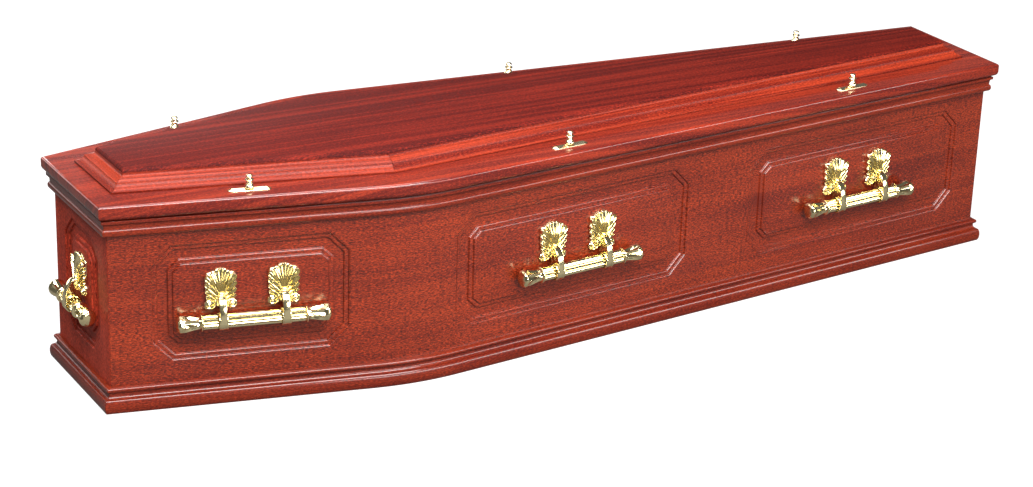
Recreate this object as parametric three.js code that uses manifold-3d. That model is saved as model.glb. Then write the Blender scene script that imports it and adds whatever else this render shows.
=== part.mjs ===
// Wooden coffin with a raised lid, brass bar handles and lid screws.
// Millimetres. +X points to the foot, +Y to the left side, +Z up. The origin is the middle of
// the underside.
import * as THREE from 'three';
import { mergeVertices } from 'three/addons/utils/BufferGeometryUtils.js';
import Module from 'manifold-3d';

const wasm = await Module();
wasm.setup();

// Box plan, measured on the outer faces of the boards
const box_length = 1912;
const head_width = 253;
const shoulder_width = 496;
const foot_width = 257;
const shoulder_from_head = 538;
const bend_radius = 520;
const bend_steps = 6;

// Boards
const wall_thickness = 18;
const wall_height = 360;
const base_thickness = 18;
const fit_gap = 0.3;

// Plinth moulding round the foot of the walls
const plinth_height = 46;
const plinth_projection = 16.5;
const plinth_torus_height = 25;
const plinth_foot_inset = 3.5;
const plinth_waist = 5;
const plinth_bead = 9;
const plinth_bead_projection = 10;

// Cornice moulding under the lid
const cornice_height = 30;
const cornice_projection = 12;
const cornice_fillet = 5;
const cornice_waist = 7;
const cornice_bead = 13;
const cornice_bead_projection = 10.5;

// Lid board
const lid_thickness = 29;
const lid_overhang = 18.5;
const lid_edge_round = 9.5;
const lid_edge_flat = 4;

// Raised part of the lid: a mitred moulding that carries a thin top panel
const raised_head_side_inset = 42;
const raised_foot_side_inset = 50;
const raised_end_inset = 25;
const raised_height = 33;
const raised_moulding_width = 54;
const raised_lip = 3;
const raised_cove_width = 14.5;
const raised_cove_height = 15;
const raised_fillet_width = 10;
const raised_fillet_rise = 3.4;
const raised_slope_width = 6;
const raised_panel_thickness = 6.5;
const raised_panel_edge = 6;

// Routed panels in the walls
const panel_bottom_margin = 85;
const panel_top_margin = 56;
const panel_head_corner_margin = 74;
const panel_head_bend_margin = 43;
const panel_foot_corner_margin = 67;
const panel_foot_bend_margin = 2;
const panel_between = 150;
const panel_foot_longer = 18;
const panel_end_margin = 44;
const panel_corner_cut = 36;

// Section of the routed groove, from its outer edge inwards
const groove_depth = 5.5;
const groove_quirk = 1.6;
const groove_outer_ogee = 11;
const groove_channel = 18;
const groove_inner_ogee = 11;
const groove_floor_step = 1;
const cutter_clearance = 2;

// Bar handles
const bar_radius = 12.5;
const bar_length = 276;
const end_bar_length = 166;
const bar_offset = 20;
const bar_below_panel_centre = 33;
const bar_flutes = 6;
const bar_flute_depth = 1.6;
const ferrule_length = 42;
const ferrule_radius = 16;
const ferrule_neck_radius = 11;
const ferrule_dome = 7;
const collar_radius = 15.5;
const collar_width = 4;
const collar_step = 0.5;
const ferrule_tip_share = 0.55;
const arm_spacing = 112;

// Handle plate with its arm, one casting
const plate_width = 60;
const plate_height = 77;
const plate_above_bar = 17.5;
const plate_rim = 3;
const plate_relief = 9;
const plate_points = 24;
const plate_roundness = 3;
const plate_scallop = 0.93;
const plate_waist = 0.93;
const plate_field_share = 0.68;
const plate_valley_share = 0.45;
const arm_width = 13;
const arm_thickness = 6;
const arm_root_height = 41;
const ring_wall = 3.2;
const ring_sides = 10;

// Lid screws
const head_screw_from_head = 248;
const right_middle_screw_from_head = 871;
const left_middle_screw_from_head = 968;
const right_foot_screw_from_foot = 355;
const left_foot_screw_from_foot = 290;
const screw_inset = 24;
const screw_plate_length = 78;
const screw_plate_width = 18;
const screw_plate_thickness = 4;
const finial_height = 24;
const finial_radius = 8.5;
const finial_sides = 8;

const mahogany = { color: 0x7a2418, roughness: 0.32, metalness: 0 };
const red_mahogany = { color: 0x9c2f1c, roughness: 0.28, metalness: 0 };
const brass = { color: 0xd8b455, roughness: 0.18, metalness: 1 };

// Plan of the walls
const half_length = box_length / 2;
const head_half = head_width / 2;
const shoulder_half = shoulder_width / 2;
const foot_half = foot_width / 2;
const shoulder_x = shoulder_from_head - half_length;
const flare = Math.atan((shoulder_half - head_half) / shoulder_from_head);
const taper = Math.atan((shoulder_half - foot_half) / (box_length - shoulder_from_head));
const bend_tangent = bend_radius * Math.tan((flare + taper) / 2);
const head_wall_flat = shoulder_from_head / Math.cos(flare) - bend_tangent;
const foot_wall_flat = (box_length - shoulder_from_head) / Math.cos(taper) - bend_tangent;
const lid_top = wall_height + fit_gap + lid_thickness;

// Half width of a wall plane moved outwards, at a place along the box
function headPlaneY(x, outward) {
  return head_half + (x + half_length) * Math.tan(flare) + outward / Math.cos(flare);
}

function footPlaneY(x, outward) {
  return foot_half + (half_length - x) * Math.tan(taper) + outward / Math.cos(taper);
}

// Left half of the plan, moved outwards: head corner, the bend at the shoulder, foot corner.
// A pull-back shortens the straight ends, so that mitred neighbours don't touch.
function sideOutline(outward, pull_back = 0) {
  const points = [];
  const head_x = -half_length - outward;
  const foot_x = half_length + outward;
  const head = new THREE.Vector2(head_x, headPlaneY(head_x, outward));
  const foot = new THREE.Vector2(foot_x, footPlaneY(foot_x, outward));
  head.x += pull_back * Math.cos(flare);
  head.y += pull_back * Math.sin(flare);
  foot.x -= pull_back * Math.cos(taper);
  foot.y += pull_back * Math.sin(taper);
  points.push(head);
  const slopes = Math.tan(flare) + Math.tan(taper);
  const rise = 1 / Math.cos(flare) - 1 / Math.cos(taper);
  const centre_x = shoulder_x + (bend_radius * rise) / slopes;
  const centre_y = headPlaneY(centre_x, -bend_radius);
  for (let i = 0; i <= bend_steps; i += 1) {
    const angle = Math.PI / 2 + flare - ((flare + taper) * i) / bend_steps;
    const radius = bend_radius + outward;
    points.push(
      new THREE.Vector2(centre_x + radius * Math.cos(angle), centre_y + radius * Math.sin(angle)),
    );
  }
  points.push(foot);
  return points;
}

// Triangles of a flat outline, turned the same way as its points
function endTriangles(outline) {
  const triangles = THREE.ShapeUtils.triangulateShape(outline, []);
  const turn = Math.sign(THREE.ShapeUtils.area(outline));
  return triangles.map(([a, b, c]) => {
    const area = THREE.ShapeUtils.area([outline[a], outline[b], outline[c]]);
    return Math.sign(area) === turn ? [a, b, c] : [a, c, b];
  });
}

// A closed solid through rings of equal length, with flat ends on the first and last ring
function loft(rings, end_triangles) {
  const positions = [];
  const index = [];
  const size = rings[0].length;
  for (const ring of rings) {
    for (const point of ring) positions.push(point.x, point.y, point.z);
  }
  for (let r = 0; r < rings.length - 1; r += 1) {
    for (let i = 0; i < size; i += 1) {
      const a = r * size + i;
      const b = r * size + ((i + 1) % size);
      index.push(a, b, b + size, a, b + size, a + size);
    }
  }
  const last = (rings.length - 1) * size;
  for (const [a, b, c] of end_triangles) {
    index.push(a, c, b);
    index.push(last + a, last + b, last + c);
  }
  return facingOut(meshed(positions, index));
}

function meshed(positions, index) {
  const geometry = new THREE.BufferGeometry();
  geometry.setAttribute('position', new THREE.Float32BufferAttribute(positions, 3));
  geometry.setIndex(index);
  return geometry;
}

function signedVolume(geometry) {
  const position = geometry.attributes.position;
  const a = new THREE.Vector3();
  const b = new THREE.Vector3();
  const c = new THREE.Vector3();
  let volume = 0;
  for (let i = 0; i < geometry.index.count; i += 3) {
    a.fromBufferAttribute(position, geometry.index.getX(i));
    b.fromBufferAttribute(position, geometry.index.getX(i + 1));
    c.fromBufferAttribute(position, geometry.index.getX(i + 2));
    volume += a.dot(b.cross(c)) / 6;
  }
  return volume;
}

function facingOut(geometry) {
  if (signedVolume(geometry) > 0) return geometry;
  const index = Array.from(geometry.index.array);
  for (let i = 0; i < index.length; i += 3) [index[i], index[i + 1]] = [index[i + 1], index[i]];
  geometry.setIndex(index);
  return geometry;
}

function mirroredInY(geometry) {
  const copy = geometry.clone();
  copy.scale(1, -1, 1);
  return facingOut(copy);
}

// Solids for cutting and joining
function solid(geometry) {
  const plain = geometry.clone();
  plain.deleteAttribute('normal');
  plain.deleteAttribute('uv');
  const merged = mergeVertices(plain, 1e-4);
  const mesh = new wasm.Mesh({
    numProp: 3,
    vertProperties: new Float32Array(merged.attributes.position.array),
    triVerts: new Uint32Array(merged.index.array),
  });
  return new wasm.Manifold(mesh);
}

function geometryOf(manifold) {
  const mesh = manifold.getMesh();
  return meshed(Array.from(mesh.vertProperties), Array.from(mesh.triVerts));
}

// A moulding or board along one side wall, mitred at both corners. The profile's points are
// (outward, height).
function alongSide(profile) {
  const outlines = profile.map((p) => sideOutline(p.x, fit_gap));
  const rings = outlines[0].map((_, station) =>
    profile.map((p, i) => new THREE.Vector3(outlines[i][station].x, outlines[i][station].y, p.y)),
  );
  return loft(rings, endTriangles(profile));
}

// The same profile across the head or the foot, mitred to the side pieces
function acrossEnd(profile, end) {
  const rings = [-1, 1].map((side) =>
    profile.map((p) => {
      const x = end * (half_length + p.x);
      const y = end < 0 ? headPlaneY(x, p.x) : footPlaneY(x, p.x);
      return new THREE.Vector3(x, side * (y - fit_gap), p.y);
    }),
  );
  return loft(rings, endTriangles(profile));
}

// A full slab whose edge follows the whole plan. The edge's points are (outward, height), from
// the underside up.
function slab(edge) {
  const rings = edge.map((p) => {
    const left = sideOutline(p.x);
    const right = left.map((q) => new THREE.Vector2(q.x, -q.y)).reverse();
    return [...left, ...right].map((q) => new THREE.Vector3(q.x, q.y, p.y));
  });
  const flat = rings[0].map((p) => new THREE.Vector2(p.x, p.y));
  return loft(rings, endTriangles(flat));
}

// Points of a path, without doubled ones
function pathPoints(path, divisions) {
  const points = [];
  for (const p of path.getPoints(divisions)) {
    if (!points.length || points[points.length - 1].distanceTo(p) > 0.01) points.push(p);
  }
  if (points[0].distanceTo(points[points.length - 1]) < 0.01) points.pop();
  return points;
}

function rectangle(x0, y0, x1, y1) {
  return [
    new THREE.Vector2(x0, y0),
    new THREE.Vector2(x1, y0),
    new THREE.Vector2(x1, y1),
    new THREE.Vector2(x0, y1),
  ];
}

// Plinth: a foot set back under a wide torus, a narrow waist and a bead on top
function plinthProfile() {
  const bead_bottom = plinth_height - plinth_bead;
  const path = new THREE.Path();
  path.moveTo(fit_gap, 0);
  path.lineTo(plinth_projection - plinth_foot_inset, 0);
  path.quadraticCurveTo(
    plinth_projection + plinth_foot_inset / 2, plinth_torus_height / 2,
    plinth_projection - plinth_foot_inset, plinth_torus_height,
  );
  path.quadraticCurveTo(plinth_waist, plinth_torus_height + 1, plinth_waist, bead_bottom - 2);
  path.lineTo(plinth_waist, bead_bottom);
  path.bezierCurveTo(
    plinth_bead_projection + 1.5, bead_bottom,
    plinth_bead_projection + 1.5, plinth_height,
    plinth_waist, plinth_height,
  );
  path.lineTo(fit_gap, plinth_height);
  return pathPoints(path, 4);
}

// Cornice: a square fillet, a cove and a bead at the bottom
function corniceProfile() {
  const bottom = wall_height - cornice_height;
  const bead_top = bottom + cornice_bead;
  const path = new THREE.Path();
  path.moveTo(fit_gap, bottom);
  path.lineTo(cornice_waist - 1, bottom);
  path.bezierCurveTo(
    cornice_bead_projection + 1, bottom,
    cornice_bead_projection + 1, bead_top,
    cornice_waist, bead_top,
  );
  path.quadraticCurveTo(
    cornice_waist, wall_height - cornice_fillet,
    cornice_projection, wall_height - cornice_fillet,
  );
  path.lineTo(cornice_projection, wall_height);
  path.lineTo(fit_gap, wall_height);
  return pathPoints(path, 3);
}

// Lid edge: a small flat at the underside, then a bullnose up to the flat top
function lidEdge() {
  const bottom = wall_height + fit_gap;
  const inner = lid_overhang - lid_edge_round;
  const middle = bottom + lid_thickness / 2;
  const rise = lid_thickness / 2 - lid_edge_flat / 2;
  const path = new THREE.Path();
  path.moveTo(inner, bottom);
  path.bezierCurveTo(
    inner + lid_edge_round * 0.6, bottom,
    lid_overhang, middle - rise * 0.6,
    lid_overhang, middle - lid_edge_flat / 2,
  );
  path.lineTo(lid_overhang, middle + lid_edge_flat / 2);
  path.bezierCurveTo(
    lid_overhang, middle + rise * 0.6,
    inner + lid_edge_round * 0.6, lid_top,
    inner, lid_top,
  );
  return pathPoints(path, 3);
}

// Plan of the raised lid at a distance inside its outer edge: six sharp corners, from the
// head's right corner round by the foot
function raisedCorners(inward) {
  const head_x = -half_length + raised_end_inset + inward;
  const foot_x = half_length - raised_end_inset - inward;
  const head_slack = -raised_head_side_inset - inward;
  const foot_slack = -raised_foot_side_inset - inward;
  const head_y = headPlaneY(head_x, head_slack);
  const foot_y = footPlaneY(foot_x, foot_slack);
  const gap_at_middle = headPlaneY(0, head_slack) - footPlaneY(0, foot_slack);
  const shoulder_corner_x = -gap_at_middle / (Math.tan(flare) + Math.tan(taper));
  const shoulder_corner_y = headPlaneY(shoulder_corner_x, head_slack);
  const right = [
    new THREE.Vector2(head_x, -head_y),
    new THREE.Vector2(shoulder_corner_x, -shoulder_corner_y),
    new THREE.Vector2(foot_x, -foot_y),
  ];
  const left = right.map((p) => new THREE.Vector2(p.x, -p.y)).reverse();
  return [...right, ...left];
}

// Raised moulding: a lip, a cove, a sloping fillet and the start of the upper slope. It is
// flat on top where the panel lies. Points are (inward, height above the lid board).
function raisedProfile() {
  const top = raised_height - raised_panel_thickness - 2 * fit_gap;
  const fillet_end = raised_cove_width + raised_fillet_width;
  const fillet_height = raised_cove_height + raised_fillet_rise;
  const path = new THREE.Path();
  path.moveTo(0, 0);
  path.lineTo(0, raised_lip);
  path.quadraticCurveTo(raised_cove_width * 0.75, raised_lip, raised_cove_width, raised_cove_height);
  path.lineTo(fillet_end, fillet_height);
  path.quadraticCurveTo(fillet_end + raised_slope_width, fillet_height, fillet_end + raised_slope_width, top);
  path.lineTo(raised_moulding_width, top);
  path.lineTo(raised_moulding_width, 0);
  return pathPoints(path, 4);
}

// One length of the raised moulding, between two corners of its plan
function raisedLength(first) {
  const profile = raisedProfile();
  const second = (first + 1) % 6;
  const bottom = lid_top + fit_gap;
  const rings = [first, second].map((corner) =>
    profile.map((p) => {
      const corners = raisedCorners(p.x);
      const along = corners[second].clone().sub(corners[first]).normalize();
      const pull = corner === first ? fit_gap : -fit_gap;
      const spot = corners[corner].clone().addScaledVector(along, pull);
      return new THREE.Vector3(spot.x, spot.y, bottom + p.y);
    }),
  );
  return loft(rings, endTriangles(profile));
}

function raisedPanel() {
  const outer = raised_cove_width + raised_fillet_width + raised_slope_width;
  const top = lid_top + raised_height;
  const bottom = top - raised_panel_thickness;
  const edge = [
    new THREE.Vector2(outer, bottom),
    new THREE.Vector2(outer + raised_panel_edge * 0.3, top - raised_panel_thickness * 0.4),
    new THREE.Vector2(outer + raised_panel_edge, top),
  ];
  const rings = edge.map((p) =>
    raisedCorners(p.x).map((q) => new THREE.Vector3(q.x, q.y, p.y)),
  );
  return loft(rings, endTriangles(raisedCorners(0)));
}

// A place on a wall's outer face: local X runs along the wall, local Y points out of it
function wallSpot(x, y, normal_angle, mirror) {
  const side = mirror ? -1 : 1;
  const angle = side * normal_angle - Math.PI / 2;
  return new THREE.Matrix4().makeRotationZ(angle).setPosition(x, side * y, 0);
}

const panel_height = wall_height - panel_bottom_margin - panel_top_margin;
const panel_centre_z = panel_bottom_margin + panel_height / 2;
const head_panel_length = head_wall_flat - panel_head_corner_margin - panel_head_bend_margin;
const middle_panel_length =
  (foot_wall_flat - panel_foot_corner_margin - panel_foot_bend_margin - panel_between
    - panel_foot_longer) / 2;
const foot_panel_length = middle_panel_length + panel_foot_longer;

// A panel of a side wall in its part from the shoulder to the foot
function footwardPanel(length, from_foot, mirror) {
  const along = from_foot + length / 2;
  const x = half_length - along * Math.cos(taper);
  const y = foot_half + along * Math.sin(taper);
  return { length, spot: wallSpot(x, y, Math.PI / 2 - taper, mirror) };
}

// The panels of one side wall, from the head to the foot
function sidePanels(mirror) {
  const along = panel_head_corner_margin + head_panel_length / 2;
  const x = -half_length + along * Math.cos(flare);
  const y = head_half + along * Math.sin(flare);
  const middle_from_foot = panel_foot_corner_margin + foot_panel_length + panel_between;
  return [
    { length: head_panel_length, spot: wallSpot(x, y, Math.PI / 2 + flare, mirror) },
    footwardPanel(middle_panel_length, middle_from_foot, mirror),
    footwardPanel(foot_panel_length, panel_foot_corner_margin, mirror),
  ];
}

const head_panel = {
  length: head_width - 2 * panel_end_margin,
  spot: wallSpot(-half_length, 0, Math.PI, false),
};
const foot_panel = {
  length: foot_width - 2 * panel_end_margin,
  spot: wallSpot(half_length, 0, 0, false),
};

// Eight corners of a panel outline, moved inwards
function panelCorners(length, inward) {
  const a = length / 2 - inward;
  const b = panel_height / 2 - inward;
  const cut = panel_corner_cut - inward * (2 - Math.SQRT2);
  return [
    [a, cut - b], [a, b - cut], [a - cut, b], [cut - a, b],
    [-a, b - cut], [-a, cut - b], [cut - a, -b], [a - cut, -b],
  ];
}

// The routed groove as a cutter: an ogee down, a flat channel and an ogee up to the field
function grooveCutter(length) {
  const inner_start = groove_outer_ogee + groove_channel;
  const width = inner_start + groove_inner_ogee;
  const low_quirk = groove_depth - groove_quirk;
  const section = [
    [0, cutter_clearance], [0, -groove_quirk],
    [groove_outer_ogee - groove_floor_step, -low_quirk], [groove_outer_ogee, -groove_depth],
    [inner_start, -groove_depth], [inner_start + groove_floor_step, -low_quirk],
    [width, -groove_quirk], [width, cutter_clearance],
  ];
  const outlines = section.map(([inward]) => panelCorners(length, inward));
  const rings = outlines[0].map((_, corner) =>
    section.map(([, outward], i) => {
      const [x, z] = outlines[i][corner];
      return new THREE.Vector3(x, outward, z + panel_centre_z);
    }),
  );
  rings.push(rings[0]);
  return loft(rings, []);
}

function grooved(board, panels) {
  let result = solid(board);
  for (const panel of panels) {
    const cutter = grooveCutter(panel.length).applyMatrix4(panel.spot);
    result = result.subtract(solid(facingOut(cutter)));
  }
  return geometryOf(result);
}

// Handle plate: a shell of fluted lobes over curled leaves, with a fan of ridges that meet
// where the arm starts. Local X runs along the wall, Y out of it, Z up from the bar's axis.
function plateSolid() {
  const centre_z = plate_above_bar + plate_height / 2;
  const root = new THREE.Vector3(0, fit_gap + plate_relief, arm_root_height);
  const positions = [];
  for (let i = 0; i < plate_points; i += 1) {
    const angle = (2 * Math.PI * i) / plate_points;
    const across = Math.abs(Math.cos(angle)) / (plate_width / 2);
    const upward = Math.abs(Math.sin(angle)) / (plate_height / 2);
    const in_shell = i > plate_points / 24 && i < (11 * plate_points) / 24;
    const valley = i % 2 === 1;
    const scallop = in_shell && valley ? plate_scallop : 1;
    const waist = i % (plate_points / 2) === 0 ? plate_waist : 1;
    const spread = (across ** plate_roundness + upward ** plate_roundness) ** (1 / plate_roundness);
    const reach = (scallop * waist) / spread;
    const x = reach * Math.cos(angle);
    const z = centre_z + reach * Math.sin(angle);
    const height = fit_gap + plate_relief * (valley ? plate_valley_share : 1);
    positions.push(x, fit_gap, z);
    positions.push(x, fit_gap + plate_rim, z);
    const field = root.clone().lerp(new THREE.Vector3(x, root.y, z), plate_field_share);
    positions.push(field.x, height, field.z);
  }
  const root_index = positions.length / 3;
  positions.push(root.x, root.y, root.z);
  const back_index = root_index + 1;
  positions.push(0, fit_gap, root.z);
  const index = [];
  for (let i = 0; i < plate_points; i += 1) {
    const a = 3 * i;
    const b = 3 * ((i + 1) % plate_points);
    for (const level of [0, 1]) {
      index.push(a + level, b + level, b + level + 1, a + level, b + level + 1, a + level + 1);
    }
    index.push(a + 2, b + 2, root_index, b, a, back_index);
  }
  return solid(facingOut(meshed(positions, index)));
}

// Points of an arc about the bar's axis, in the arm's side view (out, up)
function barArc(radius, start, end, steps) {
  const points = [];
  for (let i = 0; i <= steps; i += 1) {
    const angle = start + ((end - start) * i) / steps;
    points.push(
      new THREE.Vector2(bar_offset + radius * Math.cos(angle), radius * Math.sin(angle)),
    );
  }
  return points;
}

// The arm's side profile: it leaves the plate, turns down and ends in a ring round the bar
function armSolid() {
  const hole_radius = (bar_radius + fit_gap) / Math.cos(Math.PI / ring_sides);
  const ring_radius = hole_radius + ring_wall;
  const root = new THREE.Vector2(plate_relief + arm_thickness, arm_root_height + 1);
  const back = new THREE.Vector2(fit_gap + 1, plate_above_bar + arm_thickness);
  const outer = new THREE.QuadraticBezierCurve(
    root,
    new THREE.Vector2(bar_offset + ring_radius, arm_root_height),
    new THREE.Vector2(bar_offset + ring_radius, 0),
  );
  const inner = new THREE.QuadraticBezierCurve(
    new THREE.Vector2(bar_offset - ring_radius, 0),
    new THREE.Vector2(bar_offset - ring_radius, plate_above_bar),
    back,
  );
  const outline = [
    new THREE.Vector2(back.x, arm_root_height),
    ...outer.getPoints(4),
    ...barArc(ring_radius, 0, -Math.PI, ring_sides / 2).slice(1),
    ...inner.getPoints(2).slice(1),
  ];
  const shape = new THREE.Shape(outline);
  shape.holes.push(new THREE.Path(barArc(hole_radius, 0, 2 * Math.PI, ring_sides).slice(1)));
  const geometry = new THREE.ExtrudeGeometry(shape, { depth: arm_width, bevelEnabled: false });
  geometry.translate(0, 0, -arm_width / 2);
  const turn = new THREE.Matrix4().makeBasis(
    new THREE.Vector3(0, 1, 0), new THREE.Vector3(0, 0, 1), new THREE.Vector3(1, 0, 0),
  );
  return solid(geometry.applyMatrix4(turn));
}

const bar_height = panel_centre_z - bar_below_panel_centre;
const casting = geometryOf(plateSolid().add(armSolid()));

// Bar with a fluted grip, a collar and a flared ferrule at each end
function barGeometry(length) {
  const half = length / 2;
  const neck = half - ferrule_length;
  const half_stations = [
    { at: half, radius: ferrule_radius * ferrule_tip_share, flute: 0 },
    { at: half - ferrule_dome, radius: ferrule_radius, flute: bar_flute_depth },
    { at: neck, radius: ferrule_neck_radius, flute: bar_flute_depth },
    { at: neck - collar_step, radius: collar_radius, flute: 0 },
    { at: neck - collar_step - collar_width, radius: collar_radius, flute: 0 },
    { at: neck - 2 * collar_step - collar_width, radius: bar_radius, flute: bar_flute_depth },
  ];
  const mirrored = half_stations.map((s) => ({ ...s, at: -s.at })).reverse();
  const sides = 2 * bar_flutes;
  const rings = [...half_stations, ...mirrored].map((station) => {
    const ring = [];
    for (let i = 0; i < sides; i += 1) {
      const angle = (2 * Math.PI * i) / sides;
      const radius = station.radius - (i % 2 === 1 ? station.flute : 0);
      ring.push(new THREE.Vector3(
        station.at, bar_offset + radius * Math.cos(angle), radius * Math.sin(angle),
      ));
    }
    return ring;
  });
  const flat = rings[0].map((p) => new THREE.Vector2(p.y, p.z));
  return loft(rings, endTriangles(flat));
}

const side_bar = barGeometry(bar_length);
const end_bar = barGeometry(end_bar_length);

function screwPlate() {
  const straight = (screw_plate_length - screw_plate_width) / 2;
  const radius = screw_plate_width / 2;
  const shape = new THREE.Shape();
  shape.absarc(straight, 0, radius, -Math.PI / 2, Math.PI / 2, false);
  shape.absarc(-straight, 0, radius, Math.PI / 2, (3 * Math.PI) / 2, false);
  shape.closePath();
  return new THREE.ExtrudeGeometry(shape, {
    depth: screw_plate_thickness,
    bevelEnabled: false,
    curveSegments: 2,
  });
}

// Turned finial: a foot disc, a thin neck, a round knob and a small tip
function finialGeometry() {
  const profile = [
    [0, 0], [0.8, 0], [0.7, 0.12], [0.35, 0.22], [1, 0.5], [0.75, 0.74], [0.3, 0.84], [0, 1],
  ];
  const points = profile.map(([r, h]) => new THREE.Vector2(r * finial_radius, h * finial_height));
  return new THREE.LatheGeometry(points, finial_sides).rotateX(Math.PI / 2);
}

const group = new THREE.Group();

function addMesh(name, geometry, look, matrix) {
  const mesh = new THREE.Mesh(geometry, new THREE.MeshStandardMaterial(look));
  mesh.name = name;
  if (matrix) matrix.decompose(mesh.position, mesh.quaternion, mesh.scale);
  group.add(mesh);
}

function addWalls() {
  const profile = rectangle(-wall_thickness, 0, 0, wall_height);
  const left = alongSide(profile);
  addMesh('side_board_left', grooved(left, sidePanels(false)), mahogany);
  addMesh('side_board_right', grooved(mirroredInY(left), sidePanels(true)), mahogany);
  addMesh('head_board', grooved(acrossEnd(profile, -1), [head_panel]), mahogany);
  addMesh('foot_board', grooved(acrossEnd(profile, 1), [foot_panel]), mahogany);
  const inside = -wall_thickness - fit_gap;
  const edge = [new THREE.Vector2(inside, 0), new THREE.Vector2(inside, base_thickness)];
  addMesh('base_board', slab(edge), mahogany);
}

function addMouldingRound(name, profile) {
  const left = alongSide(profile);
  addMesh(`${name}_left`, left, red_mahogany);
  addMesh(`${name}_right`, mirroredInY(left), red_mahogany);
  addMesh(`${name}_head`, acrossEnd(profile, -1), red_mahogany);
  addMesh(`${name}_foot`, acrossEnd(profile, 1), red_mahogany);
}

function addLid() {
  addMesh('lid_board', slab(lidEdge()), red_mahogany);
  const lengths = ['head_right', 'foot_right', 'foot', 'foot_left', 'head_left', 'head'];
  lengths.forEach((place, first) => {
    addMesh(`lid_moulding_${place}`, raisedLength(first), red_mahogany);
  });
  addMesh('lid_top_panel', raisedPanel(), red_mahogany);
}

function addHandle(place, spot, bar, arm_places) {
  const lift = new THREE.Matrix4().makeTranslation(0, 0, bar_height);
  const at_bar = spot.clone().multiply(lift);
  addMesh(`handle_bar_${place}`, bar, brass, at_bar);
  arm_places.forEach((along, i) => {
    const shift = new THREE.Matrix4().makeTranslation(along, 0, 0);
    const suffix = arm_places.length > 1 ? `_${i + 1}` : '';
    addMesh(`handle_plate_${place}${suffix}`, casting, brass, at_bar.clone().multiply(shift));
  });
}

function addHandles() {
  const pair = [-arm_spacing / 2, arm_spacing / 2];
  const places = ['shoulder', 'middle', 'foot'];
  for (const [side, mirror] of [['left', false], ['right', true]]) {
    sidePanels(mirror).forEach((panel, i) => {
      addHandle(`${places[i]}_${side}`, panel.spot, side_bar, pair);
    });
  }
  addHandle('head_end', head_panel.spot, end_bar, [0]);
  addHandle('foot_end', foot_panel.spot, end_bar, [0]);
}

// Where each lid screw of one side sits on the lip of the lid
function screwPlaces(middle_from_head, foot_from_foot) {
  const outward = lid_overhang - lid_edge_round - screw_inset;
  const head_x = head_screw_from_head - half_length;
  const middle_x = middle_from_head - half_length;
  const foot_x = half_length - foot_from_foot;
  return [
    { place: 'head', x: head_x, y: headPlaneY(head_x, outward), angle: flare },
    { place: 'middle', x: middle_x, y: footPlaneY(middle_x, outward), angle: -taper },
    { place: 'foot', x: foot_x, y: footPlaneY(foot_x, outward), angle: -taper },
  ];
}

const left_screws = screwPlaces(left_middle_screw_from_head, left_foot_screw_from_foot);
const right_screws = screwPlaces(right_middle_screw_from_head, right_foot_screw_from_foot);

function addScrews() {
  const plate = screwPlate();
  const finial = finialGeometry();
  const plate_z = lid_top + fit_gap;
  const finial_z = plate_z + screw_plate_thickness + fit_gap;
  for (const [side, sign, places] of [['left', 1, left_screws], ['right', -1, right_screws]]) {
    for (const { place, x, y, angle } of places) {
      const turn = new THREE.Matrix4().makeRotationZ(sign * angle);
      const plate_at = turn.clone().setPosition(x, sign * y, plate_z);
      const finial_at = turn.clone().setPosition(x, sign * y, finial_z);
      addMesh(`screw_plate_${place}_${side}`, plate, brass, plate_at);
      addMesh(`screw_finial_${place}_${side}`, finial, brass, finial_at);
    }
  }
}

addWalls();
addMouldingRound('plinth', plinthProfile());
addMouldingRound('cornice', corniceProfile());
addLid();
addHandles();
addScrews();

export default group;
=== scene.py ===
from math import atan, cos, pi, radians, sin, sqrt, tan

import bmesh
import bpy
from mathutils import Matrix, Vector
from mathutils.geometry import interpolate_bezier


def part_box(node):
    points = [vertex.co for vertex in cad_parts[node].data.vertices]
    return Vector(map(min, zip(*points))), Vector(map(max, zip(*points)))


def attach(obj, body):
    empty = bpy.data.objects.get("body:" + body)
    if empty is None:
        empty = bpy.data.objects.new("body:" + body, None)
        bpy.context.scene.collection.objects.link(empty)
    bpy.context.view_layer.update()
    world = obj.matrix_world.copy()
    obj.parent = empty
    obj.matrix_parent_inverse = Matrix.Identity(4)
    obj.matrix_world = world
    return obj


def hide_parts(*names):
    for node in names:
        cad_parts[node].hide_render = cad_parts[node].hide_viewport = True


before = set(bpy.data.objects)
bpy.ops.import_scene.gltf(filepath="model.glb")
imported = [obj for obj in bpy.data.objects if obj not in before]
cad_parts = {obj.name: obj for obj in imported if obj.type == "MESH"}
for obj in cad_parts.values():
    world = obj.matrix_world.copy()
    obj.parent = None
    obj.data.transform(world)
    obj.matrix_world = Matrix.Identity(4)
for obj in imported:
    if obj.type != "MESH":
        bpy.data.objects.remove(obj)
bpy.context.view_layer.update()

# Plan of the walls, on the outer faces of the boards
BOX_LENGTH = 1.912
HEAD_WIDTH = 0.253
SHOULDER_WIDTH = 0.496
FOOT_WIDTH = 0.257
SHOULDER_FROM_HEAD = 0.538
BEND_RADIUS = 0.520
BEND_STEPS = 28
WALL = 0.018
WALL_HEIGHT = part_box("side_board_left")[1].z
LID_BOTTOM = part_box("lid_board")[0].z
LID_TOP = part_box("lid_board")[1].z
GAP = 0.0003

HALF_LENGTH = BOX_LENGTH / 2
FLARE = atan((SHOULDER_WIDTH - HEAD_WIDTH) / 2 / SHOULDER_FROM_HEAD)
TAPER = atan((SHOULDER_WIDTH - FOOT_WIDTH) / 2 / (BOX_LENGTH - SHOULDER_FROM_HEAD))
BEND_TANGENT = BEND_RADIUS * tan((FLARE + TAPER) / 2)
HEAD_WALL_FLAT = SHOULDER_FROM_HEAD / cos(FLARE) - BEND_TANGENT
FOOT_WALL_FLAT = (BOX_LENGTH - SHOULDER_FROM_HEAD) / cos(TAPER) - BEND_TANGENT


def placed(name, data):
    """A new object in the scene."""
    item = bpy.data.objects.new(name, data)
    bpy.context.scene.collection.objects.link(item)
    return item


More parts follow.
